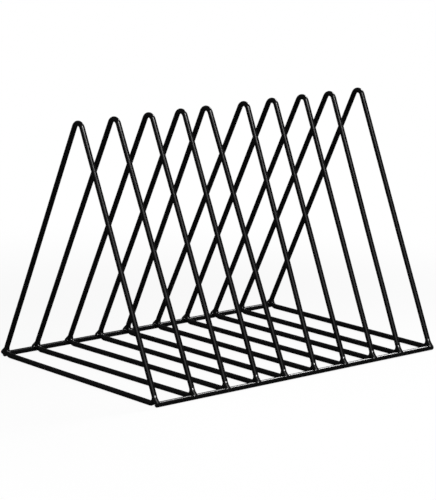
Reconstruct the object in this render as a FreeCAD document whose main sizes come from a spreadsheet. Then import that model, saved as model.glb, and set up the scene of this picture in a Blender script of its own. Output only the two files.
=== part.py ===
import FreeCAD, Part
import math
import os
import Sketcher
from enum import IntEnum

# Triangular magazine rack of bent and welded steel wire.
# Closed triangles of round wire stand in a row, apex up, and two straight rails tie their feet together.
# X runs along the rails, Y from the front rail to the rear rail, Z up.
# The origin is on the floor under the middle of the rack.

FRAME_COUNT = 10
MIDDLE = (FRAME_COUNT + 1) / 2
SIDES = {"front": -1, "rear": 1}

# Driving dimensions, in millimetres and degrees.
# Corners are where the centre lines of a frame's straight runs would meet. Bend radii are for centre lines.
# A rail end is how far the rail runs past the centre line of the last foot on that side.
# The last ones say how this rack is out of true: its frames splay more towards the ends, and some stand
# off their even place along the rails, tilted or turned.
DIMENSIONS = {
    "wire_diameter": 4.0,
    "rail_diameter": 4.0,
    "frame_pitch": 33.0,
    "corner_span": 190.0,
    "corner_height": 208.0,
    "apex_bend_radius": 5.0,
    "foot_bend_radius": 5.0,
    "seat_gap": 0.05,
    "front_rail_left_end": 0.5,
    "front_rail_right_end": 3.0,
    "rear_rail_left_end": 1.0,
    "rear_rail_right_end": 2.0,
    "rail_end_chamfer": 0.4,
    "bead_length": 6.2,
    "bead_depth": 4.4,
    "bead_height": 9.0,
    "bead_standoff": 2.0,
    "end_frame_splay": 1.4,
    "frame_02_offset": 2.0,
    "frame_03_offset": 3.5,
    "frame_04_offset": 3.0,
    "frame_09_offset": -2.5,
    "frame_05_tilt": -1.2,
    "frame_06_tilt": 0.8,
    "frame_10_tilt": -0.9,
    "frame_01_turn": -2.0,
}


# Names for the sketcher's numbers: its two axes, which meet at the origin, and the points of a curve.
class Axis(IntEnum):
    LEVEL = -1
    UPRIGHT = -2


class Point(IntEnum):
    START = 1
    END = 2
    CENTRE = 3


# The cell that says how a frame is out of true, or nothing for a frame that is true.
def departure(number, kind):
    name = f"frame_{number:02d}_{kind}"
    return f"dims.{name}" if name in DIMENSIONS else "0"


def frame_x(number):
    return f"({number} - {MIDDLE}) * dims.frame_pitch + {departure(number, 'offset')}"


# Places worked out from the driving dimensions, most of them in the plane of a frame.
# The bend of a foot is an arc about bend_y, and the rail seats against the outer side of that arc.
# seat_slope is how far below level the line from the bend's centre to the rail's centre points.
# The throat is where bend and rail are closest, and the weld bead stands off from it, up the crevice above.
# A turned frame's foot lies off its frame's place along the rail.
LAYOUT_ANGLES = {
    "foot_angle": "atan(2 * dims.corner_height / dims.corner_span)",
    "seat_slope": "asin((layout.bend_outside - dims.rail_diameter / 2) / layout.bend_to_rail)",
}
LAYOUT_LENGTHS = {
    "bend_y": "dims.corner_span / 2 - dims.foot_bend_radius / tan(layout.foot_angle / 2)",
    "bend_outside": "dims.foot_bend_radius + dims.wire_diameter / 2",
    "bend_to_rail": "layout.bend_outside + dims.seat_gap + dims.rail_diameter / 2",
    "rail_y": "layout.bend_y + layout.bend_to_rail * cos(layout.seat_slope)",
    "throat_y": "layout.bend_y + layout.bend_outside * cos(layout.seat_slope)",
    "throat_z": "dims.foot_bend_radius - layout.bend_outside * sin(layout.seat_slope)",
    "bead_y": "layout.throat_y + dims.bead_standoff * sin(layout.seat_slope)",
    "bead_z": "layout.throat_z + dims.bead_standoff * cos(layout.seat_slope)",
    "first_frame_x": frame_x(1),
    "last_frame_x": frame_x(FRAME_COUNT),
    "first_foot_x": "layout.rail_y * sin(dims.frame_01_turn)",
}


def make_dimensions():
    sheet = doc.addObject("Spreadsheet::Sheet", "dims")
    for row, (name, value) in enumerate(DIMENSIONS.items(), 1):
        sheet.set(f"A{row}", name)
        sheet.set(f"B{row}", str(value))
        sheet.setAlias(f"B{row}", name)
    doc.recompute()


def make_layout():
    layout = doc.addObject("App::VarSet", "layout")
    for name in LAYOUT_ANGLES:
        layout.addProperty("App::PropertyAngle", name)
    for name in LAYOUT_LENGTHS:
        layout.addProperty("App::PropertyFloat", name)
    for name, formula in {**LAYOUT_ANGLES, **LAYOUT_LENGTHS}.items():
        layout.setExpression(name, formula)
    doc.recompute()


def make_sketch(body, name, plane_role):
    sketch = body.newObject("Sketcher::SketchObject", name)
    plane = next(item for item in body.Origin.OriginFeatures if item.Role == plane_role)
    sketch.AttachmentSupport = (plane, [""])
    sketch.MapMode = "FlatFace"
    return sketch


def constrain(sketch, *parts):
    return sketch.addConstraint(Sketcher.Constraint(*parts))


def bind(sketch, formula, *parts):
    index = constrain(sketch, *parts)
    sketch.setExpression(f"Constraints[{index}]", formula)


def draw_circle(sketch, diameter_name):
    diameter = DIMENSIONS[diameter_name]
    centre = FreeCAD.Vector(0, 0, 0)
    circle = sketch.addGeometry(Part.Circle(centre, FreeCAD.Vector(0, 0, 1), diameter / 2), False)
    constrain(sketch, "Coincident", circle, Point.CENTRE, Axis.LEVEL, Point.START)
    bind(sketch, f"dims.{diameter_name}", "Diameter", circle, diameter)


def bend_points(before, corner, after, radius):
    back = (before - corner).normalize()
    onward = (after - corner).normalize()
    half_corner = back.getAngle(onward) / 2
    to_tangent = radius / math.tan(half_corner)
    inward = (back + onward).normalize()
    middle = corner + inward * (radius / math.sin(half_corner) - radius)
    return corner + back * to_tangent, middle, corner + onward * to_tangent


# The centre line of a frame: a construction triangle through the corners, with a run along each side of it
# and a tangent bend inside each corner.
def draw_frame_path(sketch):
    half_span = DIMENSIONS["corner_span"] / 2
    height = DIMENSIONS["corner_height"]
    corners = [FreeCAD.Vector(-half_span, 0), FreeCAD.Vector(half_span, 0), FreeCAD.Vector(0, height)]
    radius_names = ["foot_bend_radius", "foot_bend_radius", "apex_bend_radius"]
    count = len(corners)
    bends = []
    for i, name in enumerate(radius_names):
        bends.append(bend_points(corners[i - 1], corners[i], corners[(i + 1) % count], DIMENSIONS[name]))
    sides = []
    runs = []
    arcs = []
    for i in range(count):
        following = (i + 1) % count
        sides.append(sketch.addGeometry(Part.LineSegment(corners[i], corners[following]), True))
        runs.append(sketch.addGeometry(Part.LineSegment(bends[i][2], bends[following][0]), False))
        arcs.append(sketch.addGeometry(Part.ArcOfCircle(*bends[i]), False))
    for i in range(count):
        following = (i + 1) % count
        constrain(sketch, "Coincident", sides[i], Point.END, sides[following], Point.START)
    base, leg = sides[0], sides[1]
    constrain(sketch, "PointOnObject", base, Point.START, Axis.LEVEL)
    constrain(sketch, "Symmetric", base, Point.START, base, Point.END, Axis.LEVEL, Point.START)
    constrain(sketch, "PointOnObject", leg, Point.END, Axis.UPRIGHT)
    bind(sketch, "dims.corner_span", "DistanceX", base, Point.START, base, Point.END, 2 * half_span)
    bind(sketch, "dims.corner_height", "DistanceY", Axis.LEVEL, Point.START, leg, Point.END, height)
    for i in range(count):
        constrain(sketch, "PointOnObject", runs[i], Point.START, sides[i])
        constrain(sketch, "PointOnObject", runs[i], Point.END, sides[i])
        constrain(sketch, "Tangent", runs[i - 1], Point.END, arcs[i], Point.START)
        constrain(sketch, "Tangent", arcs[i], Point.END, runs[i], Point.START)
        name = radius_names[i]
        bind(sketch, f"dims.{name}", "Radius", arcs[i], DIMENSIONS[name])
    return [f"Edge{i + 1}" for i in range(len(runs) + len(arcs))]


# One closed wire triangle, bent from one length of wire and butt welded to itself.
def make_frame(number):
    name = f"frame_{number:02d}"
    body = doc.addObject("PartDesign::Body", name)
    path = make_sketch(body, f"{name}_path", "YZ_Plane")
    path_edges = draw_frame_path(path)
    section = make_sketch(body, f"{name}_section", "XZ_Plane")
    draw_circle(section, "wire_diameter")
    wire = body.newObject("PartDesign::AdditivePipe", f"{name}_wire")
    wire.Profile = section
    wire.Spine = (path, path_edges)
    splay = f"({number} - {MIDDLE}) / {MIDDLE - 1} * dims.end_frame_splay"
    lean = f"{splay} + {departure(number, 'tilt')}"
    turn = departure(number, "turn")
    place = f"vector({frame_x(number)}; 0; dims.wire_diameter / 2)"
    body.setExpression("Placement", f"placement({place}; rotation({turn}; {lean}; 0))")
    return body


# A straight rail on the floor, outside the feet, with its cut ends deburred.
def make_rail(side, facing):
    name = f"{side}_rail"
    body = doc.addObject("PartDesign::Body", name)
    section = make_sketch(body, f"{name}_section", "YZ_Plane")
    draw_circle(section, "rail_diameter")
    rod = body.newObject("PartDesign::Pad", f"{name}_rod")
    rod.Profile = section
    left = f"(layout.first_frame_x - {facing} * layout.first_foot_x - dims.{name}_left_end)"
    right = f"(layout.last_frame_x + dims.{name}_right_end)"
    rod.setExpression("Length", f"{right} - {left}")
    doc.recompute()
    ends = [f"Edge{i + 1}" for i, edge in enumerate(rod.Shape.Edges) if edge.isClosed()]
    chamfer = body.newObject("PartDesign::Chamfer", f"{name}_ends")
    chamfer.Base = (rod, ends)
    chamfer.setExpression("Size", "dims.rail_end_chamfer")
    place = f"vector({left}; {facing} * layout.rail_y; dims.rail_diameter / 2)"
    body.setExpression("Placement", f"placement({place}; rotation(0; 0; 0))")
    return body


# The weld that holds a foot to its rail: a bead in the crevice above them, cut to the wires that it joins.
def make_weld(number, side, facing, frame, rail):
    name = f"{side}_weld_{number:02d}"
    bead = doc.addObject("Part::Ellipsoid", f"{name}_bead")
    bead.setExpression("Radius1", "dims.bead_height / 2")
    bead.setExpression("Radius2", "dims.bead_length / 2")
    bead.setExpression("Radius3", "dims.bead_depth / 2")
    slant = f"{facing} * (90 deg - layout.foot_angle)"
    local = f"placement(vector(0; {facing} * layout.bead_y; layout.bead_z); rotation(0; 0; {slant}))"
    bead.setExpression("Placement", f"{frame.Name}.Placement * {local}")
    beside_frame = doc.addObject("Part::Cut", f"{name}_beside_frame")
    beside_frame.Base = bead
    beside_frame.Tool = frame
    weld = doc.addObject("Part::Cut", name)
    weld.Base = beside_frame
    weld.Tool = rail
    return weld


def check(nodes):
    for item in doc.Objects:
        if "Invalid" in item.State or "Error" in item.State:
            raise RuntimeError(f"{item.Name} did not recompute: {item.State}")
    for node in nodes:
        shape = node.Shape
        if shape.isNull() or not shape.isValid() or len(shape.Solids) != 1:
            raise RuntimeError(f"{node.Label} is not one valid solid")


doc = FreeCAD.newDocument("magazine_rack")
make_dimensions()
make_layout()
frames = [make_frame(number) for number in range(1, FRAME_COUNT + 1)]
nodes = list(frames)
for side, facing in SIDES.items():
    rail = make_rail(side, facing)
    nodes.append(rail)
    for number, frame in enumerate(frames, 1):
        nodes.append(make_weld(number, side, facing, frame, rail))
doc.recompute()
check(nodes)
os.makedirs("parts", exist_ok=True)
for node in nodes:
    node.Shape.exportStep(f"parts/{node.Label}.step")
    print(f"{node.Label}: {node.Shape.Volume:.1f} mm3")
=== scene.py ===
import math

import bpy
import numpy as np
from mathutils import Euler, Matrix, Vector


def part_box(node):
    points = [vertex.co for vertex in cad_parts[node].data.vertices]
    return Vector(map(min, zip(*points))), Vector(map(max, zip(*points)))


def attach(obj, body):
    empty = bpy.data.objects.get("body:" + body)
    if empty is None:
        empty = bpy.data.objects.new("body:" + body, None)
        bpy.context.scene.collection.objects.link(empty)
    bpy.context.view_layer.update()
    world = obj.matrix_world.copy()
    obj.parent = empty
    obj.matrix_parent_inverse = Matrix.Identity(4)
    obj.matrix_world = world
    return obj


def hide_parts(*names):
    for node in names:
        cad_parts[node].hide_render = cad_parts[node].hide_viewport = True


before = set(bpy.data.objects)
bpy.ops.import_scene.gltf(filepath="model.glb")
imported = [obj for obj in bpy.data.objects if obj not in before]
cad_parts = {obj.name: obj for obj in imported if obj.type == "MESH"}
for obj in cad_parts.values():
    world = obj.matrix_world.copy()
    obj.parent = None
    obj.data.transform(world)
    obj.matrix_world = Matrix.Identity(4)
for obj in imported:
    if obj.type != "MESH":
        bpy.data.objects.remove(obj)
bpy.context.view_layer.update()        # the wire triangles, rails and weld beads, in metres
print("frame loaded:", len(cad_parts), "nodes")


# by identifier where one fits, or else by name or number
def findSocket(sockets, key):
    return next((socket for socket in sockets if socket.identifier == key), None) or sockets[key]


# wraps a socket: operators add Math nodes, and node() adds any other node
class Plug:
    def __init__(self, tree, socket=None):
        self.tree = tree
        self.socket = socket

    def node(self, kind, settings=None, sockets=None, out=0):
        made = self.tree.nodes.new(kind)
        for name, setting in (settings or {}).items():
            setattr(made, name, setting)
        for key, value in (sockets or {}).items():
            socket = findSocket(made.inputs, key)
            if isinstance(value, Plug):
                self.tree.links.new(value.socket, socket)
            else:
                socket.default_value = value
        if not made.outputs:
            return made
        return Plug(self.tree, findSocket(made.outputs, out))

    def output(self, name):
        return Plug(self.tree, self.socket.node.outputs[name])

    def math(self, operation, *others):
        return self.node("ShaderNodeMath", {"operation": operation}, dict(enumerate((self, *others))))

    def vector(self, operation, *others, out=0):
        sockets = dict(enumerate((self, *others)))
        return self.node("ShaderNodeVectorMath", {"operation": operation}, sockets, out)

    def split(self):  # x, y and z of a vector
        x = self.node("ShaderNodeSeparateXYZ", sockets={"Vector": self})
        return x, x.output("Y"), x.output("Z")

    def noise(self, scale, detail, out="Fac"):
        sockets = {"Vector": self, "Scale": scale, "Detail": detail}
        return self.node("ShaderNodeTexNoise", sockets=sockets, out=out)

    def equals(self, number):  # for whole numbers
        return self.math("COMPARE", number, 0.1)

    def rise(self, low, high):  # smooth step from 0 at low to 1 at high
        sockets = {"Value": self, "From Min": low, "From Max": high}
        return self.node("ShaderNodeMapRange", {"interpolation_type": "SMOOTHSTEP"}, sockets)

    def tint(self, low, high):  # from one colour to the other as this goes from 0 to 1
        sockets = {"Factor_Float": self, "A_Color": low, "B_Color": high}
        return self.node("ShaderNodeMix", {"data_type": "RGBA"}, sockets, "Result_Color")

    def pick(self, whenTrue, whenFalse):
        sockets = {"Switch": self, "False": whenFalse, "True": whenTrue}
        return self.node("GeometryNodeSwitch", {"input_type": "FLOAT"}, sockets)

    def __add__(self, other):
        return self.math("ADD", other)

    def __sub__(self, other):
        return self.math("SUBTRACT", other)

    def __rsub__(self, other):
        return self.node("ShaderNodeMath", {"operation": "SUBTRACT"}, {0: other, 1: self})

    def __mul__(self, other):
        return self.math("MULTIPLY", other)

    def __truediv__(self, other):
        return self.math("DIVIDE", other)

    def __rtruediv__(self, other):
        return self.node("ShaderNodeMath", {"operation": "DIVIDE"}, {0: other, 1: self})

    __radd__ = __add__
    __rmul__ = __mul__


def hypot(*parts):
    total = parts[0] * parts[0]
    for part in parts[1:]:
        total = total + part * part
    return total.math("SQRT")


# a node group with the inputs named in each list; makePiece gives every one its value
def newTree(name, floats, wholes, vectors):
    tree = bpy.data.node_groups.new(name, "GeometryNodeTree")
    for kind, labels in (("Float", floats), ("Int", wholes), ("Vector", vectors)):
        for label in labels.split():
            tree.interface.new_socket(label, in_out="INPUT", socket_type="NodeSocket" + kind)
    tree.interface.new_socket("Geometry", in_out="OUTPUT", socket_type="NodeSocketGeometry")
    entry = tree.nodes.new("NodeGroupInput")
    given = {socket.name: Plug(tree, socket) for socket in entry.outputs if socket.name}
    return Plug(tree), given


def endTree(geometry, material):
    smooth = geometry.node("GeometryNodeSetShadeSmooth", sockets={"Geometry": geometry})
    real = smooth.node("GeometryNodeRealizeInstances", sockets={"Geometry": smooth})
    coated = real.node("GeometryNodeSetMaterial", sockets={"Geometry": real, "Material": material})
    coated.node("NodeGroupOutput", sockets={"Geometry": coated})
    return geometry.tree


# runs a tree with the given values, keeps the result as a plain mesh and puts it in the node's place
def makePiece(name, tree, values, node):
    piece = bpy.data.objects.new(name, bpy.data.meshes.new(name))
    bpy.context.scene.collection.objects.link(piece)
    modifier = piece.modifiers.new("shape", "NODES")
    modifier.node_group = tree
    for item in tree.interface.items_tree:
        if item.in_out == "INPUT":
            modifier[item.identifier] = values[item.name]
    graph = bpy.context.evaluated_depsgraph_get()
    mesh = bpy.data.meshes.new_from_object(piece.evaluated_get(graph))
    piece.modifiers.clear()
    piece.data = mesh
    mesh.name = name
    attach(piece, "root")
    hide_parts(node)


# black powder coat
coat = {
    "black": (0.0010, 0.0010, 0.0012, 1.0),
    "thin": (0.0020, 0.0020, 0.0023, 1.0),
    "cutFace": (0.020, 0.020, 0.021, 1.0),
    "specular": 0.5,
    "roughness": 0.18,
    "roughnessSpread": 0.05,
    "cutRoughness": 0.15,    # more on the rails' cut faces
    "patchSize": 0.030,      # how far apart thick and thin places lie
    "patchDetail": 3.0,
    "thinFrom": (0.35, 0.7),  # noise values between which thick turns thin
    "peelSize": 0.0022,      # orange peel
    "peelDetail": 1.5,
    "peelDepth": 0.00003,
    "peelStrength": 0.10,
    "peelRoughness": 0.04,
}
weldCoat = dict(coat, specular=1.0, roughness=0.16, peelStrength=0.06)  # thicker and glossier in the corners


def coatMaterial(name, look):
    material = bpy.data.materials.new(name)
    material.use_nodes = True
    material.node_tree.nodes.clear()
    start = Plug(material.node_tree)
    place = start.node("ShaderNodeTexCoord", out="Object")
    patches = place.noise(1 / look["patchSize"], look["patchDetail"])
    peel = place.noise(1 / look["peelSize"], look["peelDetail"])
    cutEnd = start.node("ShaderNodeAttribute", {"attribute_name": "cutEnd"}, out="Fac")
    sprayed = patches.rise(*look["thinFrom"]).tint(look["black"], look["thin"])
    roughness = look["roughness"] + (patches - 0.5) * look["roughnessSpread"]
    roughness = roughness + (peel - 0.5) * look["peelRoughness"] + cutEnd * look["cutRoughness"]
    bump = start.node("ShaderNodeBump", sockets={
        "Strength": look["peelStrength"], "Distance": look["peelDepth"], "Height": peel})
    surface = start.node("ShaderNodeBsdfPrincipled", sockets={
        "Base Color": cutEnd.tint(sprayed, look["cutFace"]), "Roughness": roughness, "Normal": bump,
        "Specular IOR Level": look["specular"]})
    start.node("ShaderNodeOutputMaterial", sockets={"Surface": surface})
    return material


blackCoat = coatMaterial("blackCoat", coat)
coatedWeld = coatMaterial("coatedWeld", weldCoat)
print("coats mixed")

# a wire triangle: sizes are those of the centre line
wire = {
    "count": 10,
    "span": 0.190,
    "height": 0.208,
    "radius": 0.00212,       # steel 2 mm, coat 0.12 mm
    "axisHeight": 0.002,
    "footBend": 0.005,
    "topBend": 0.005,
    "bendSteps": 20,
    "runSteps": 30,
    "sides": 28,
    "bow": 0.0004,           # how far a run strays from straight
    "bowLength": 0.09,
    "bowFrom": (0.012, 0.06),  # distances from a corner between which it sets in
    "bowLift": (0.001, 0.02),  # heights between which it may also go up or down
    "seamProud": 0.00014,    # the butt weld that closes the wire, in the middle of the base
    "seamWidth": 0.0012,
    "seamUnder": (-0.0015, 0.0005),  # it sets in between these heights
    "seamOver": (0.004, 0.006),      # and is left out above these
    "seedStep": 3.7,         # from frame to frame, so that each strays in its own way
}


def wireTree():
    start, given = newTree(
        "bentWire", floats="span height radius footBend topBend bow bowLength seamProud seamWidth seed",
        wholes="bendSteps runSteps sides", vectors="place turn")
    index = start.node("GeometryNodeInputIndex")
    position = start.node("GeometryNodeInputPosition")
    _, y, z = position.split()
    # three corners: 0 front foot, 1 rear foot, 2 top
    isTop = index.equals(2)
    footY = (index * 2 - 1) * (1 - isTop) * given["span"] / 2
    corner = start.node("ShaderNodeCombineXYZ", sockets={"Y": footY, "Z": isTop * given["height"]})
    triangle = start.node("GeometryNodeCurvePrimitiveCircle", sockets={"Resolution": 3})
    triangle = start.node("GeometryNodeSetPosition", sockets={"Geometry": triangle, "Position": corner})
    bendRadius = given["footBend"] + isTop * (given["topBend"] - given["footBend"])
    bent = start.node("GeometryNodeFilletCurve", {"mode": "POLY"}, {
        "Curve": triangle, "Count": given["bendSteps"], "Radius": bendRadius, "Limit Radius": True})
    # the last point of each bend starts a straight run
    startsRun = index.math("FLOORED_MODULO", given["bendSteps"] + 1).equals(given["bendSteps"])
    cuts = startsRun * given["runSteps"]
    bent = start.node("GeometryNodeSubdivideCurve", sockets={"Curve": bent, "Cuts": cuts})
    # runs stray a little between the bends, the base only sideways
    free = 1.0
    for alongSpan, upHeight in ((-0.5, 0.0), (0.5, 0.0), (0.0, 1.0)):
        point = start.node("ShaderNodeCombineXYZ", sockets={
            "Y": given["span"] * alongSpan, "Z": given["height"] * upHeight})
        free = free * position.vector("DISTANCE", point, out="Value").rise(*wire["bowFrom"])
    reach = free * given["bow"]
    seedOffset = start.node("ShaderNodeCombineXYZ", sockets={"X": given["seed"]})
    drift = position.vector("ADD", seedOffset).noise(1 / given["bowLength"], 0.0, "Color")
    driftX, driftY, driftZ = drift.vector("SUBTRACT", (0.5, 0.5, 0.5)).split()
    stray = start.node("ShaderNodeCombineXYZ", sockets={
        "X": driftX * reach, "Y": driftY * reach, "Z": driftZ * reach * z.rise(*wire["bowLift"])})
    bent = start.node("GeometryNodeSetPosition", sockets={"Geometry": bent, "Offset": stray})
    section = start.node("GeometryNodeCurvePrimitiveCircle", sockets={
        "Resolution": given["sides"], "Radius": given["radius"]})
    swept = start.node("GeometryNodeCurveToMesh", sockets={"Curve": bent, "Profile Curve": section})
    # the seam stands proud above the middle of the base, and is flush underneath
    off = y / given["seamWidth"]
    ring = (off * off * -1).math("EXPONENT")
    above = z.rise(*wire["seamUnder"]) * (1 - z.rise(*wire["seamOver"]))
    normal = start.node("GeometryNodeInputNormal")
    proud = start.node("ShaderNodeVectorMath", {"operation": "SCALE"}, {
        0: normal, "Scale": ring * above * given["seamProud"]})
    swept = start.node("GeometryNodeSetPosition", sockets={"Geometry": swept, "Offset": proud})
    rotation = start.node("FunctionNodeEulerToRotation", sockets={"Euler": given["turn"]})
    placed = start.node("GeometryNodeTransform", sockets={
        "Geometry": swept, "Translation": given["place"], "Rotation": rotation})
    return endTree(placed, blackCoat)


# where a frame stands and how it leans and turns, read from its node
def framePose(node):
    points = np.array([v.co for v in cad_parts[node].data.vertices])
    slopes = np.column_stack([np.ones(len(points)), points[:, 1], points[:, 2]])
    x, perY, perZ = np.linalg.lstsq(slopes, points[:, 0], rcond=None)[0]
    turn = -math.atan(perY)
    lean = math.atan(perZ * math.cos(turn))
    return Vector((x + perZ * wire["axisHeight"], 0, wire["axisHeight"])), Euler((0, lean, turn))


bentWire = wireTree()
poses = []
for number in range(1, wire["count"] + 1):
    node = f"frame_{number:02d}"
    place, turn = framePose(node)
    poses.append((place, turn))
    values = dict(wire, seed=number * wire["seedStep"], place=tuple(place), turn=tuple(turn))
    makePiece(f"bentFrame_{number:02d}", bentWire, values, node)
print("wire frames bent:", len(poses))

# the two floor rails
rail = {
    "radius": 0.00212,
    "endRound": 0.0004,
    "endDome": 0.00006,
    "faceSteps": 4,
    "faceStart": 0.05,       # the cut face's first ring, in steps from its middle
    "roundSteps": 6,
    "runSteps": 60,
    "sides": 28,
}


def railTree():
    start, given = newTree(
        "straightRail", floats="length radius endRound endDome faceStart",
        wholes="faceSteps roundSteps runSteps sides", vectors="place")
    endSteps = given["faceSteps"] + given["roundSteps"]
    last = endSteps * 2 + given["runSteps"]
    index = start.node("GeometryNodeInputIndex")
    fromEnd = index.math("MINIMUM", last - index)
    # from the middle of the cut face out to its rim, round the rim, then along the run
    faceRadius = given["radius"] - given["endRound"]
    faceShare = (fromEnd + given["faceStart"]) / given["faceSteps"]
    roundAngle = (fromEnd - given["faceSteps"]) / given["roundSteps"] * (math.pi / 2)
    onFace = fromEnd.math("LESS_THAN", given["faceSteps"])
    onRound = fromEnd.math("LESS_THAN", endSteps)
    roundRadius = faceRadius + given["endRound"] * roundAngle.math("SINE")
    radius = onFace.pick(faceRadius * faceShare, onRound.pick(roundRadius, given["radius"]))
    roundDepth = given["endDome"] + given["endRound"] * (1 - roundAngle.math("COSINE"))
    endDepth = given["endDome"] + given["endRound"]
    runShare = (index - endSteps) / given["runSteps"]
    depth = onFace.pick(given["endDome"] * faceShare * faceShare, roundDepth)
    isLeft = index.math("LESS_THAN", last / 2)
    runX = endDepth + (given["length"] - endDepth * 2) * runShare
    x = onRound.pick(isLeft.pick(depth, given["length"] - depth), runX)
    line = start.node("GeometryNodeCurvePrimitiveLine", sockets={"End": (1, 0, 0)})
    line = start.node("GeometryNodeResampleCurve", sockets={"Curve": line, "Count": last + 1})
    perPoint = {"data_type": "FLOAT", "domain": "POINT"}
    for name, value in (("cutEnd", onFace), ("rodRadius", radius)):
        line = start.node("GeometryNodeStoreNamedAttribute", perPoint, {
            "Geometry": line, "Name": name, "Value": value})
    along = start.node("ShaderNodeCombineXYZ", sockets={"X": x})
    line = start.node("GeometryNodeSetPosition", sockets={"Geometry": line, "Position": along})
    width = start.node("GeometryNodeInputNamedAttribute", {"data_type": "FLOAT"}, {"Name": "rodRadius"})
    section = start.node("GeometryNodeCurvePrimitiveCircle", sockets={
        "Resolution": given["sides"], "Radius": 1.0})
    swept = start.node("GeometryNodeCurveToMesh", sockets={
        "Curve": line, "Profile Curve": section, "Scale": width, "Fill Caps": True})
    placed = start.node("GeometryNodeTransform", sockets={"Geometry": swept, "Translation": given["place"]})
    return endTree(placed, blackCoat)


straightRail = railTree()
railBoxes = {}
for side in ("front", "rear"):
    low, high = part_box(f"{side}_rail")
    railBoxes[side] = (low, high)
    place = (low.x, (low.y + high.y) / 2, (low.z + high.z) / 2)
    values = dict(rail, length=high.x - low.x, place=place)
    makePiece(f"{side}Rod", straightRail, values, f"{side}_rail")
print("rails cut:", len(railBoxes))

# the weld bead between a foot and its rail
bead = {
    "length": 0.0038,
    "depth": 0.0036,
    "height": 0.0082,
    "standoff": {"front": 0.0025, "rear": 0.0028},  # up the crevice from where foot and rail are closest
    "aside": {"front": 0.0001, "rear": 0.0002},  # to the right of the foot's middle, seen from outside
    "tilt": {"front": math.radians(11), "rear": math.radians(26)},  # its lower end leads to that side
    "lean": math.radians(7),  # and out over the rail, more than the leg does
    "fillet": 0.0006,        # between foot and rail
    "beadFillet": 0.0014,    # between bead and wires
    "ripple": 0.000004,
    "rippleStep": 0.0015,
    "rippleDrift": 6.0,      # how far the lumps push the ripples along
    "lump": 0.00004,
    "lumpScale": 420.0,
    "skin": 0.00004,         # how far the weld's edge dips under the wires
    "root": 0.0004,          # how deep it reaches into them
    "reach": 0.0062,         # how far from the crevice its edge may run
    "voxel": 0.00018,
    "edgeVoxels": 4,         # over which the density falls from full to none
    "marginVoxels": 2,       # round the reach, in the box that is meshed
    "sizeSpread": 0.16,      # between the smallest and the largest bead
    "seedStep": 1.31,        # from frame to frame
    "sideSeed": 0.57,        # from front to rear
    "sizeSeed": 5.0,
    "seedSkew": 0.37,
}


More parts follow.
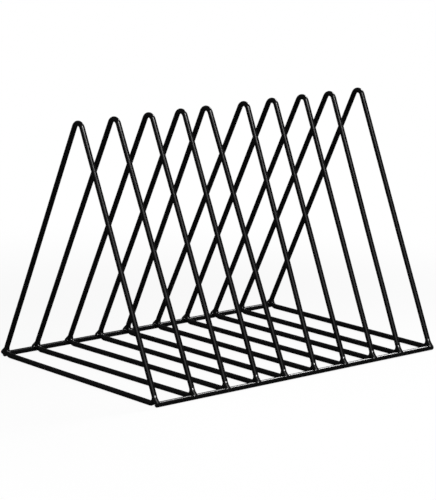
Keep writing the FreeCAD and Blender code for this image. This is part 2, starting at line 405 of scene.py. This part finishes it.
def beadTree():
    start, given = newTree(
        "weldBead",
        floats="wireRadius bend bendOut footAngle railOut railUp railRadius railRound railLeft railRight "
               "facing beadOut beadUp beadAngle aside tilt fillet beadFillet ripple rippleStep rippleDrift "
               "lump lumpScale skin root reach voxel seed seedSkew",
        wholes="edgeVoxels cells", vectors="sizes place turn boxLow boxHigh")
    position = start.node("GeometryNodeInputPosition")
    worldX, worldY, worldZ = position.split()
    # the same point in the frame's own plane, with out pointing away from the rack
    inFrame = start.node("ShaderNodeVectorRotate", {"rotation_type": "EULER_XYZ", "invert": True}, {
        "Vector": position.vector("SUBTRACT", given["place"]), "Rotation": given["turn"]})
    across, y, up = inFrame.split()
    out = y * given["facing"]
    cosine = given["footAngle"].math("COSINE")
    sine = given["footAngle"].math("SINE")
    # distance to the wire: base run, foot bend and leg
    fromBendOut = out - given["bendOut"]
    fromBendUp = up - given["bend"]
    baseRun = hypot(fromBendOut.math("MAXIMUM", 0.0), up, across)
    legOff = fromBendOut * sine + fromBendUp * cosine - given["bend"]
    legAlong = fromBendUp * sine - fromBendOut * cosine
    legRun = hypot(legAlong.math("MINIMUM", 0.0), legOff, across)
    bendRing = hypot(hypot(fromBendOut, fromBendUp) - given["bend"], across)
    angle = fromBendUp.math("ARCTAN2", fromBendOut)
    pastBase = angle.math("GREATER_THAN", -math.pi / 2)
    beforeLeg = angle.math("LESS_THAN", math.pi / 2 - given["footAngle"])
    wireGap = (pastBase * beforeLeg).pick(bendRing, baseRun.math("MINIMUM", legRun)) - given["wireRadius"]
    # distance to the rail and its cut, rounded ends
    fromRail = hypot(worldY * given["facing"] - given["railOut"], worldZ - given["railUp"])
    pastSide = fromRail - given["railRadius"] + given["railRound"]
    pastCut = (given["railLeft"] - worldX).math("MAXIMUM", worldX - given["railRight"]) + given["railRound"]
    outside = hypot(pastSide.math("MAXIMUM", 0.0), pastCut.math("MAXIMUM", 0.0))
    railGap = outside + pastSide.math("MAXIMUM", pastCut).math("MINIMUM", 0.0) - given["railRound"]
    # the bead: a lumpy, rippled rod with round ends, along the leg
    halfLength, halfDepth, halfHeight = given["sizes"].split()
    beadOut = out - given["beadOut"]
    beadUp = up - given["beadUp"]
    beadCosine = given["beadAngle"].math("COSINE")
    beadSine = given["beadAngle"].math("SINE")
    beadAlong = beadUp * beadSine - beadOut * beadCosine
    beadOff = beadOut * beadSine + beadUp * beadCosine
    aside = across - given["aside"]
    tiltCosine = given["tilt"].math("COSINE")
    tiltSine = given["tilt"].math("SINE")
    pastEnd = (beadAlong * tiltCosine - aside * tiltSine).math("ABSOLUTE") - (halfHeight - halfLength)
    terms = ((aside * tiltCosine + beadAlong * tiltSine, halfLength), (beadOff, halfDepth),
             (pastEnd.math("MAXIMUM", 0.0), halfLength))
    stretched = hypot(*[part / half for part, half in terms])
    slope = hypot(*[part / (half * half) for part, half in terms])
    beadGap = stretched * (stretched - 1) / slope
    seedOffset = start.node("ShaderNodeCombineXYZ", sockets={
        "X": given["seed"], "Y": given["seed"] * given["seedSkew"]})
    lumps = inFrame.vector("ADD", seedOffset).noise(given["lumpScale"], 0.0)
    ripples = beadAlong / given["rippleStep"] * (2 * math.pi) + lumps * given["rippleDrift"]
    beadGap = beadGap + (lumps - 0.5) * given["lump"] + ripples.math("SINE") * given["ripple"]
    # smooth into both wires, hollow where they run through, and end just under their skin
    wires = wireGap.math("MINIMUM", railGap)
    filled = wireGap.math("SMOOTH_MIN", railGap, given["fillet"]) + given["skin"]
    joined = beadGap.math("SMOOTH_MIN", filled, given["beadFillet"])
    around = hypot(across, beadOff, beadAlong) - given["reach"]
    solid = joined.math("MAXIMUM", (wires + given["root"]) * -1).math("MAXIMUM", around)
    level = 0.5              # the density at the surface
    volume = start.node("GeometryNodeVolumeCube", sockets={
        "Density": level - solid / (given["voxel"] * given["edgeVoxels"]),
        "Min": given["boxLow"], "Max": given["boxHigh"],
        "Resolution X": given["cells"], "Resolution Y": given["cells"], "Resolution Z": given["cells"]})
    skin = start.node("GeometryNodeVolumeToMesh", {"resolution_mode": "GRID"}, {
        "Volume": volume, "Threshold": level})
    return endTree(skin, coatedWeld)


weldBead = beadTree()
footAngle = math.atan2(2 * wire["height"], wire["span"])
bendOut = wire["span"] / 2 - wire["footBend"] / math.tan(footAngle / 2)
bendOutside = wire["footBend"] + wire["axisHeight"]
halfBox = bead["reach"] + bead["voxel"] * bead["marginVoxels"]
toCorner = Vector((halfBox, halfBox, halfBox))
for side, facing in (("front", -1.0), ("rear", 1.0)):
    low, high = railBoxes[side]
    railOut = (low.y + high.y) / 2 * facing
    railUp = (low.z + high.z) / 2
    toRail = Vector((railOut - bendOut, railUp - wire["axisHeight"] - wire["footBend"]))
    toRail.normalize()
    beadOut = bendOut + bendOutside * toRail.x - bead["standoff"][side] * toRail.y
    beadUp = wire["footBend"] + bendOutside * toRail.y + bead["standoff"][side] * toRail.x
    for number, (place, turn) in enumerate(poses, 1):
        seed = number * bead["seedStep"] + facing * bead["sideSeed"]
        grow = 1 + bead["sizeSpread"] * math.sin(seed * bead["sizeSeed"]) / 2
        sizes = Vector((bead["length"], bead["depth"], bead["height"])) / 2 * grow
        centre = place + turn.to_matrix() @ Vector((0, facing * beadOut, beadUp))
        values = dict(
            bead, wireRadius=wire["radius"], bend=wire["footBend"], bendOut=bendOut, footAngle=footAngle,
            railOut=railOut, railUp=railUp, railRadius=rail["radius"], railRound=rail["endRound"],
            railLeft=low.x + rail["endDome"], railRight=high.x - rail["endDome"], facing=facing,
            beadOut=beadOut, beadUp=beadUp, beadAngle=footAngle - bead["lean"], sizes=tuple(sizes),
            aside=-facing * bead["aside"][side], tilt=-facing * bead["tilt"][side], seed=seed,
            place=tuple(place), turn=tuple(turn), cells=math.ceil(2 * halfBox / bead["voxel"]),
            boxLow=tuple(centre - toCorner), boxHigh=tuple(centre + toCorner))
        makePiece(f"{side}Bead_{number:02d}", weldBead, values, f"{side}_weld_{number:02d}")
print("welds laid:", 2 * len(poses))

# white floor and studio
floor = {
    "half": 6.0,
    "colour": (0.86, 0.86, 0.86, 1.0),
    "white": (1, 1, 1, 1),
    "cover": 0.92,           # how much plain white covers the lit floor near the rack
    "shadowReach": (0.22, 0.55),  # the shadow fades out between these distances
    "inCoat": (0.04, 0.04, 0.04, 1.0),  # how the white shows in the black coat
    "drop": 0.00015,
}


def makeFloor():
    half, z = floor["half"], -floor["drop"]
    corners = [(-half, -half, z), (half, -half, z), (half, half, z), (-half, half, z)]
    mesh = bpy.data.meshes.new("paleFloor")
    mesh.from_pydata(corners, [], [(0, 1, 2, 3)])
    plane = bpy.data.objects.new("paleFloor", mesh)
    bpy.context.scene.collection.objects.link(plane)
    material = bpy.data.materials.new("paleFloor")
    material.use_nodes = True
    material.node_tree.nodes.clear()
    start = Plug(material.node_tree)
    rays = start.node("ShaderNodeLightPath", out="Is Camera Ray")
    seen = rays.math("MAXIMUM", rays.output("Is Transmission Ray"))
    place = start.node("ShaderNodeTexCoord", out="Object")
    away = place.vector("LENGTH", out="Value").rise(*floor["shadowReach"])
    cover = seen * (floor["cover"] + away * (1 - floor["cover"]))
    cover = cover.math("MAXIMUM", rays.output("Is Glossy Ray"))
    matte = start.node("ShaderNodeBsdfDiffuse", sockets={"Color": floor["colour"]})
    white = start.node("ShaderNodeEmission", sockets={"Color": seen.tint(floor["inCoat"], floor["white"])})
    surface = start.node("ShaderNodeMixShader", sockets={0: cover, 1: matte, 2: white})
    start.node("ShaderNodeOutputMaterial", sockets={"Surface": surface})
    mesh.materials.append(material)


room = {
    "dim": (0.10, 0.10, 0.10, 1.0),     # what lights the rack from all round
    "inCoat": (0.08, 0.08, 0.08, 1.0),  # what shows in the black coat
    "white": (1, 1, 1, 1),
}


def makeWorld():
    world = bpy.data.worlds.new("studio")
    bpy.context.scene.world = world
    world.use_nodes = True
    world.node_tree.nodes.clear()
    start = Plug(world.node_tree)
    rays = start.node("ShaderNodeLightPath", out="Is Camera Ray")
    seen = rays.math("MAXIMUM", rays.output("Is Transmission Ray"))
    around = rays.output("Is Glossy Ray").tint(room["dim"], room["inCoat"])
    background = start.node("ShaderNodeBackground", sockets={"Color": seen.tint(around, room["white"])})
    start.node("ShaderNodeOutputWorld", sockets={"Surface": background})


# gridded softboxes: toward is where the beam points, along is the way the width lies
# smallStrip is for the front rail's left end
softboxes = {
    "rightStrip": {"place": (0.82, 0.05, 0.60), "toward": (-0.70, -0.34, -0.62), "along": (1, 0, 0),
                   "width": 0.50, "height": 0.26, "spread": 52, "watts": 1.20},
    "smallStrip": {"place": (0.41, 0.05, 0.60), "toward": (-0.55, -0.145, -0.60), "along": (1, 0, 0),
                   "width": 0.13, "height": 0.26, "spread": 22, "watts": 0.018},
    "frontPanel": {"place": (-0.36, -0.88, 0.98), "toward": (0.11, 0.78, -0.98), "along": (1, 0, 0),
                   "width": 0.50, "height": 0.36, "spread": 56, "watts": 1.25},
    "frontCard": {"place": (-0.96, -0.895, 0.675), "toward": (0.44, 0.845, -0.575), "along": (0.68, -0.73, 0),
                  "width": 1.40, "height": 1.20, "spread": 80, "watts": 1.0},
}


def makeLights():
    for name, box in softboxes.items():
        lamp = bpy.data.lights.new(name, "AREA")
        lamp.shape = "RECTANGLE"
        lamp.size = box["width"]
        lamp.size_y = box["height"]
        lamp.energy = box["watts"]
        lamp.spread = math.radians(box["spread"])
        back = -Vector(box["toward"]).normalized()
        across = Vector(box["along"])
        across = (across - across.project(back)).normalized()
        axes = Matrix((across, back.cross(across), back)).transposed()
        holder = bpy.data.objects.new(name, lamp)
        holder.matrix_world = Matrix.Translation(box["place"]) @ axes.to_4x4()
        holder.visible_camera = False
        bpy.context.scene.collection.objects.link(holder)


# the photograph's viewpoint
camera = {
    "place": (-1.5520, -1.6445, 0.5661),
    "heading": -43.268,      # degrees from looking along +Y
    "dip": 11.998,
    "roll": 1.729,
    "focalPixels": 2876.0,
    "imageHeight": 500,
    "sensorHeight": 24.0,
    "farthest": 50.0,
}


def makeCamera():
    heading, dip, roll = (math.radians(camera[name]) for name in ("heading", "dip", "roll"))
    right = Vector((math.cos(heading), math.sin(heading), 0))
    forward = Vector((-math.sin(heading) * math.cos(dip), math.cos(heading) * math.cos(dip), -math.sin(dip)))
    up = right.cross(forward)
    rolledRight = right * math.cos(roll) + up * math.sin(roll)
    rolledUp = up * math.cos(roll) - right * math.sin(roll)
    lens = bpy.data.cameras.new("view")
    lens.sensor_fit = "VERTICAL"
    lens.sensor_height = camera["sensorHeight"]
    lens.lens = camera["focalPixels"] / camera["imageHeight"] * camera["sensorHeight"]
    lens.clip_end = camera["farthest"]
    holder = bpy.data.objects.new("view", lens)
    axes = Matrix((rolledRight, rolledUp, -forward)).transposed()
    holder.matrix_world = Matrix.Translation(camera["place"]) @ axes.to_4x4()
    bpy.context.scene.collection.objects.link(holder)
    bpy.context.scene.camera = holder


makeFloor()
makeWorld()
makeLights()
makeCamera()
bpy.context.scene.view_settings.view_transform = "Standard"
print("studio set")
